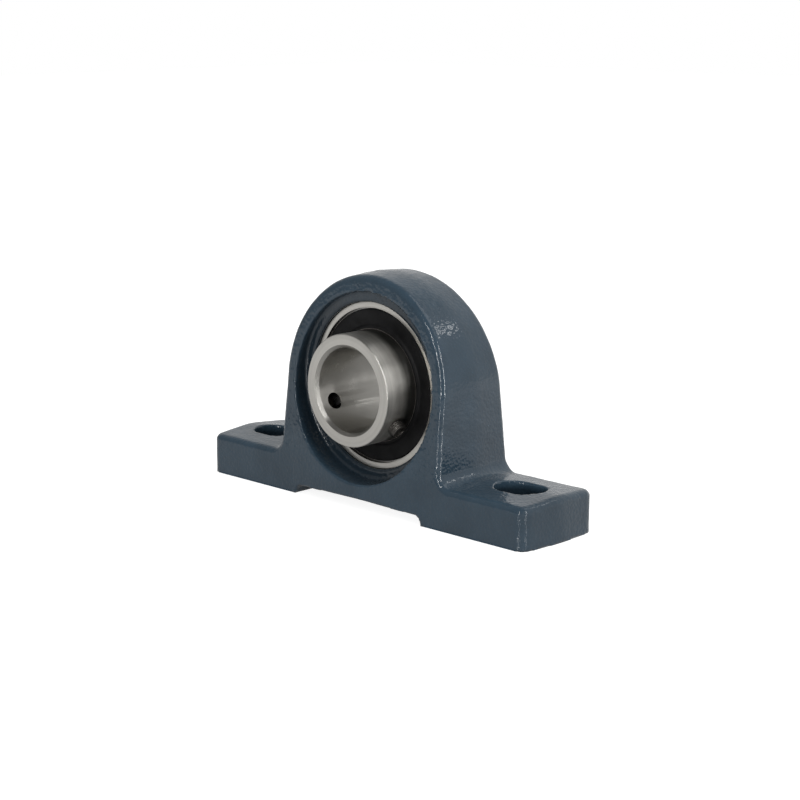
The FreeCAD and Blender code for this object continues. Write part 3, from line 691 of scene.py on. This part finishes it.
class BEARING_OT_turn_outer_ring(bpy.types.Operator):
    """Turn and grind the outer ring"""
    bl_idname = "bearing.turn_outer_ring"
    bl_label = "Turn outer ring"

    def execute(self, context):
        colours = context.scene.bearing_colours
        sphere, face, edge = 31.0, 9.0, 0.35
        # Radii where the seal goes in, snaps in and stops, and their places along the shaft
        mouth, snap, land = 27.45, 27.95, 25.9
        mouth_start, snap_end, shoulder = 8.1, 7.7, 6.5
        race_centre = 22.8325
        half_crown = math.degrees(math.asin((face - edge) / sphere))
        half_race = math.degrees(math.acos((land - race_centre) / BALL_GROOVE_RADIUS))
        crown = arc((0, 0), sphere, -half_crown, half_crown)
        profile = [(mouth, -face), (crown[0][0] - edge, -face)] + crown
        profile += [(crown[-1][0] - edge, face), (mouth, face), (mouth, mouth_start),
                    (snap, snap_end), (snap, shoulder), (land, shoulder)]
        profile += arc((race_centre, 0), BALL_GROOVE_RADIUS, half_race, -half_race)
        profile += [(land, -shoulder), (snap, -shoulder), (snap, -snap_end),
                    (mouth, -mouth_start)]
        ring = turned("outer_ring_turned", profile, context.scene.bearing_sizes.ring_steps)
        pin_radius, pin_foot, below, past = 1.54, 28.9, -0.04, 4
        drill = [(0, below), (pin_radius, below), (pin_radius, past), (0, past)]
        hole = turned("pin_drill", drill, steps=48, about="X")
        radial_place(hole, 0, pin_foot, 0)
        cut_away(ring, hole)
        soften_edges(ring, 0.08)
        shade(ring, angle=30)
        paint_ring(ring, colours, ground_steel(colours, "Outer ring steel", 0.34, 0.34))
        stand_for(ring, "outer", "ring_steel", "outer_ring")
        return {"FINISHED"}


class BEARING_OT_turn_inner_ring(bpy.types.Operator):
    """Turn and grind the inner ring, and tap its two set-screw holes"""
    bl_idname = "bearing.turn_inner_ring"
    bl_label = "Turn inner ring"

    def execute(self, context):
        sizes = context.scene.bearing_sizes
        colours = context.scene.bearing_colours
        front, rear, radius = -22.2, 15.9, 19.8
        bore_edge, front_edge, rear_edge = 1.1, 0.25, 0.4
        race_centre = 23.1675
        half_race = math.degrees(math.acos((race_centre - radius) / BALL_GROOVE_RADIUS))
        profile = [(BORE_RADIUS + bore_edge, front), (radius - front_edge, front),
                   (radius, front + front_edge)]
        profile += arc((race_centre, 0), BALL_GROOVE_RADIUS, 180 + half_race, 180 - half_race)
        profile += [(radius, rear - rear_edge), (radius - rear_edge, rear),
                    (BORE_RADIUS + bore_edge, rear), (BORE_RADIUS, rear - bore_edge),
                    (BORE_RADIUS, front + bore_edge)]
        ring = turned("inner_ring_turned", profile, sizes.ring_steps)
        for number, turn in enumerate(SCREW_TURNS, start=1):
            tap = self.threaded_tool(f"tap_{number}", sizes.thread_pitch / MM)
            radial_place(tap, turn, 0, SCREW_ALONG)
            cut_away(ring, tap)
        soften_edges(ring, 0.07, angle=28)
        shade(ring, angle=30)
        paint_ring(ring, colours, ground_steel(colours, "Inner ring steel", 0.34, 0.31))
        stand_for(ring, "inner", "ring_steel", "inner_ring")
        return {"FINISHED"}

    def threaded_tool(self, name, pitch):
        """A tap: its teeth cut grooves into the wall of the hole, in step with the screw's."""
        core, tooth = 2.74, 3.0
        point, first_tooth, last_tooth, end = 12.0, 14.45, 20.6, 23
        profile = [(0, point), (core, point)]
        profile += thread(core, tooth, first_tooth, last_tooth, pitch, (0.03, 0.30, 0.70, 0.97))
        profile += [(core, end), (0, end)]
        return turned(name, profile, steps=64, about="X")


class BEARING_OT_mould_seals(bpy.types.Operator):
    """Mould the two rubber seals"""
    bl_idname = "bearing.mould_seals"
    bl_label = "Mould seals"

    def execute(self, context):
        rubber = seal_rubber(context.scene.bearing_colours)
        lip = 19.85
        rim = [(27.0, 7.1), (27.0, 7.72), (26.88, 7.98), (26.6, 8.1)]
        web = [(25.0, 8.1), (23.6, 8.06), (22.2, 7.98), (21.6, 8.0), (21.2, 8.2),
               (20.95, 8.45), (20.6, 8.56)]
        inner_edge = [(lip + 0.12, 8.6), (lip, 8.45), (lip, 7.8), (lip + 0.5, 7.1)]
        back = [(21.3, 6.6), (21.55, 6.6), (21.55, 7.1)]
        section = rim + web + inner_edge + back
        for side, where in ((-1, "front"), (1, "rear")):
            seal = turned(f"{where}_seal_moulded",
                          [(radius, side * along) for radius, along in section],
                          context.scene.bearing_sizes.ring_steps)
            soften_edges(seal, 0.10, angle=20)
            shade(seal, angle=40)
            paint_piece(seal, rubber)
            stand_for(seal, "outer", "seal_rubber", f"{where}_seal")
        return {"FINISHED"}


class BEARING_OT_cut_set_screws(bpy.types.Operator):
    """Cut the two socket set screws"""
    bl_idname = "bearing.cut_set_screws"
    bl_label = "Cut set screws"

    def execute(self, context):
        oxide = black_oxide(context.scene.bearing_colours)
        pitch = context.scene.bearing_sizes.thread_pitch / MM
        length, core, crest = 5.5, 2.50, 2.95
        first_thread, plain_end, end_edge = 1.0, 0.2, 0.12
        key_radius, key_length, key_centre = 1.73, 3.4, length - 0.8
        cup_point = [(0, 0.5), (1.1, 0.1), (1.45, 0.0), (1.6, 0.05), (core, 0.95)]
        threads = thread(core, crest, first_thread, length - plain_end - pitch, pitch,
                         (0.06, 0.44, 0.56, 0.94))
        socket_end = [(core + end_edge, length - end_edge), (core, length), (0, length)]
        for number, turn in enumerate(SCREW_TURNS, start=1):
            screw = turned(f"set_screw_{number}_cut", cup_point + threads + socket_end,
                           steps=72, about="X")
            deselect()
            bpy.ops.mesh.primitive_cylinder_add(
                vertices=6, radius=key_radius * MM, depth=key_length * MM,
                location=(key_centre * MM, 0, 0), rotation=(0, math.pi / 2, 0))
            key = bpy.context.object
            place_in_mesh(key)
            cut_away(screw, key)
            radial_place(screw, turn, SCREW_POINT, SCREW_ALONG)
            soften_edges(screw, 0.05, angle=30)
            shade(screw, angle=30)
            paint_piece(screw, oxide)
            stand_for(screw, f"screw_{number}", "screw_steel", f"set_screw_{number}")
        return {"FINISHED"}


class BEARING_OT_finish_inner_parts(bpy.types.Operator):
    """Finish the balls, cage, rivets, seal plates and locating pin"""
    bl_idname = "bearing.finish_inner_parts"
    bl_label = "Finish inner parts"

    def execute(self, context):
        paint_nodes([f"ball_{number}" for number in range(1, BALL_COUNT + 1)]
                    + ["locating_pin"], polished_steel())
        paint_nodes(["cage_front", "cage_rear", "cage_rivets",
                     "front_seal_plate", "rear_seal_plate"], pressed_steel())
        return {"FINISHED"}


# Stage

LAMP_TARGET = Vector((0, 0, 0.04))

# Name, degrees round from the camera and above the floor, metres away, width and height
# in metres, and power in watts
LAMPS = (
    ("Strip left", -32, 21, 1.1, (0.06, 0.86), 4.2),
    ("Strip right", 30, 21, 1.1, (0.06, 0.86), 5.3),
    ("Lamp top", 80, 70, 1.0, (0.6, 0.6), 1.2),
    ("Lamp back", 98, 42, 1.1, (0.10, 0.10), 0.16),
)

# The camera's place from the origin, along its own picture's sides, in millimetres
CAMERA_RIGHT, CAMERA_UP, CAMERA_BACK = 2.8527, 35.4929, 678.127

# How bright the floor and the world are for plain light and for the eye, where 1 is white
FLOOR_PLAIN, FLOOR_SEEN = 0.0, 0.88
WORLD_PLAIN, WORLD_SEEN = 0.78, 1.0

# How bright they are when mirrored: the floor by metres from the block, and the world by
# the way looked at, along its dim side and upwards. The dim side's degrees are from the camera.
FLOOR_REACH, FLOOR_LEVELS = (0.08, 0.42), (0.24, 0.52)
DIM_SIDE = -70
SIDE_REACH, SIDE_LEVELS = (-0.9, 0.9), (0.70, 0.20)
UP_REACH, UP_LEVELS = (0.68, 0.88), (1.0, 0.55)


def direction(turn, rise=0.0):
    """The way at an angle round the block, from straight in front, and above the floor."""
    return Vector((math.sin(turn) * math.cos(rise), -math.cos(turn) * math.cos(rise),
                   math.sin(rise)))


def mix_levels(tree, factor, first, second):
    """The first brightness where the factor is 0 and the second where it is 1."""
    return add_node(tree, "ShaderNodeMix", {0: factor, 2: first, 3: second}).outputs[0]


def pick_by_ray(tree, plain, mirrored, seen):
    """One brightness for plain light, one for mirrored rays and one for the eye.

    The eye's rays are the camera's and those that pass through glass.
    """
    ray = add_node(tree, "ShaderNodeLightPath").outputs
    eye = calculate(tree, "MAXIMUM", ray["Is Camera Ray"], ray["Is Transmission Ray"])
    return mix_levels(tree, eye, mix_levels(tree, ray["Is Glossy Ray"], plain, mirrored), seen)


def smooth_range(tree, value, ends, levels):
    """Brightness that runs smoothly between two levels while a value runs between its ends."""
    made = add_node(tree, "ShaderNodeMapRange", interpolation_type="SMOOTHSTEP", Value=value,
                    From_Min=ends[0], From_Max=ends[1], To_Min=levels[0], To_Max=levels[1])
    return made.outputs["Result"]


def along_way(tree, place, way):
    """How far a place lies along a direction."""
    made = add_node(tree, "ShaderNodeVectorMath", {0: place, 1: way}, operation="DOT_PRODUCT")
    return made.outputs["Value"]


class BEARING_OT_light_stage(bpy.types.Operator):
    """Set up the floor, the studio lamps, the world and the camera"""
    bl_idname = "bearing.light_stage"
    bl_label = "Light stage"

    def execute(self, context):
        sizes = context.scene.bearing_sizes
        self.lay_floor(tuple(context.scene.bearing_colours.floor))
        self.hang_world(direction(sizes.camera_turn + math.radians(DIM_SIDE)))
        self.place_camera(context, sizes)
        for name, turn, *setup in LAMPS:
            self.hang_lamp(name, sizes.camera_turn + math.radians(turn), *setup)
        context.scene.view_settings.view_transform = "Standard"
        return {"FINISHED"}

    def lay_floor(self, colour):
        """A floor that the eye sees as white, and that mirrors brighter farther away."""
        deselect()
        bpy.ops.mesh.primitive_plane_add(size=6, location=(0, 0, 0))
        floor = bpy.context.object
        floor.name = "studio_floor"
        finish = Finish("Studio floor", colour, roughness=0.3, Emission_Color=(1, 1, 1))
        away = finish.node("ShaderNodeVectorMath", {0: finish.place}, operation="LENGTH")
        mirrored = smooth_range(finish.tree, away.outputs["Value"], FLOOR_REACH, FLOOR_LEVELS)
        finish.set("Emission Strength",
                   pick_by_ray(finish.tree, FLOOR_PLAIN, mirrored, FLOOR_SEEN))
        paint_piece(floor, finish.material)

    def hang_world(self, dim_way):
        """White for the eye; mirrored, it is dimmer on one side and overhead."""
        world = bpy.data.worlds.new("Studio")
        bpy.context.scene.world = world
        world.use_nodes = True
        tree = world.node_tree
        background = tree.nodes["Background"]
        way = add_node(tree, "ShaderNodeTexCoord").outputs["Generated"]
        sideways = smooth_range(tree, along_way(tree, way, dim_way), SIDE_REACH, SIDE_LEVELS)
        upwards = smooth_range(tree, along_way(tree, way, (0, 0, 1)), UP_REACH, UP_LEVELS)
        mirrored = calculate(tree, "MULTIPLY", sideways, upwards)
        feed(tree, background.inputs["Strength"],
             pick_by_ray(tree, WORLD_PLAIN, mirrored, WORLD_SEEN))
        feed(tree, background.inputs["Color"], (1, 1, 1))

    def hang_lamp(self, name, turn, rise, distance, extent, power):
        """A softbox round the block and above the floor, aimed at the block."""
        lamp = bpy.data.lights.new(name, "AREA")
        lamp.shape = "RECTANGLE"
        lamp.size, lamp.size_y = extent
        lamp.energy = power
        holder = bpy.data.objects.new(name, lamp)
        bpy.context.scene.collection.objects.link(holder)
        away = direction(turn, math.radians(rise))
        holder.location = away * distance + LAMP_TARGET
        holder.rotation_euler = (-away).to_track_quat("-Z", "Y").to_euler()

    def place_camera(self, context, sizes):
        """The camera that took the photo, as solved from it."""
        back = direction(sizes.camera_turn, sizes.camera_rise)
        right = direction(sizes.camera_turn + math.pi / 2)
        up = back.cross(right)
        lens = bpy.data.cameras.new("Camera")
        lens.lens = sizes.camera_lens
        lens.sensor_width = 36
        lens.clip_start, lens.clip_end = 0.01, 20
        camera = bpy.data.objects.new("Camera", lens)
        context.scene.collection.objects.link(camera)
        camera.location = (right * CAMERA_RIGHT + up * CAMERA_UP + back * CAMERA_BACK) * MM
        camera.rotation_euler = (-back).to_track_quat("-Z", "Y").to_euler()
        context.scene.camera = camera


# Panel and registration

STEPS = (BEARING_OT_light_stage, BEARING_OT_cast_housing, BEARING_OT_turn_outer_ring,
         BEARING_OT_turn_inner_ring, BEARING_OT_mould_seals, BEARING_OT_cut_set_screws,
         BEARING_OT_finish_inner_parts)


class BEARING_PT_workshop(bpy.types.Panel):
    """Lists the sizes, the colours and the steps"""
    bl_idname = "BEARING_PT_workshop"
    bl_label = "Pillow block bearing"
    bl_space_type = "VIEW_3D"
    bl_region_type = "UI"
    bl_category = "Bearing"

    def draw(self, context):
        for group in (context.scene.bearing_sizes, context.scene.bearing_colours):
            box = self.layout.box()
            for name in group.bl_rna.properties.keys():
                if name not in ("rna_type", "name"):
                    box.prop(group, name)
        for step in STEPS:
            self.layout.operator(step.bl_idname)


CLASSES = (BearingSizes, BearingColours) + STEPS + (BEARING_PT_workshop,)


def register():
    for item in CLASSES:
        bpy.utils.register_class(item)
    bpy.types.Scene.bearing_sizes = bpy.props.PointerProperty(type=BearingSizes)
    bpy.types.Scene.bearing_colours = bpy.props.PointerProperty(type=BearingColours)


def unregister():
    del bpy.types.Scene.bearing_colours
    del bpy.types.Scene.bearing_sizes
    for item in reversed(CLASSES):
        bpy.utils.unregister_class(item)


def main():
    register()
    for step in STEPS:
        group, name = step.bl_idname.split(".")
        getattr(getattr(bpy.ops, group), name)()


if __name__ == "__main__":
    main()
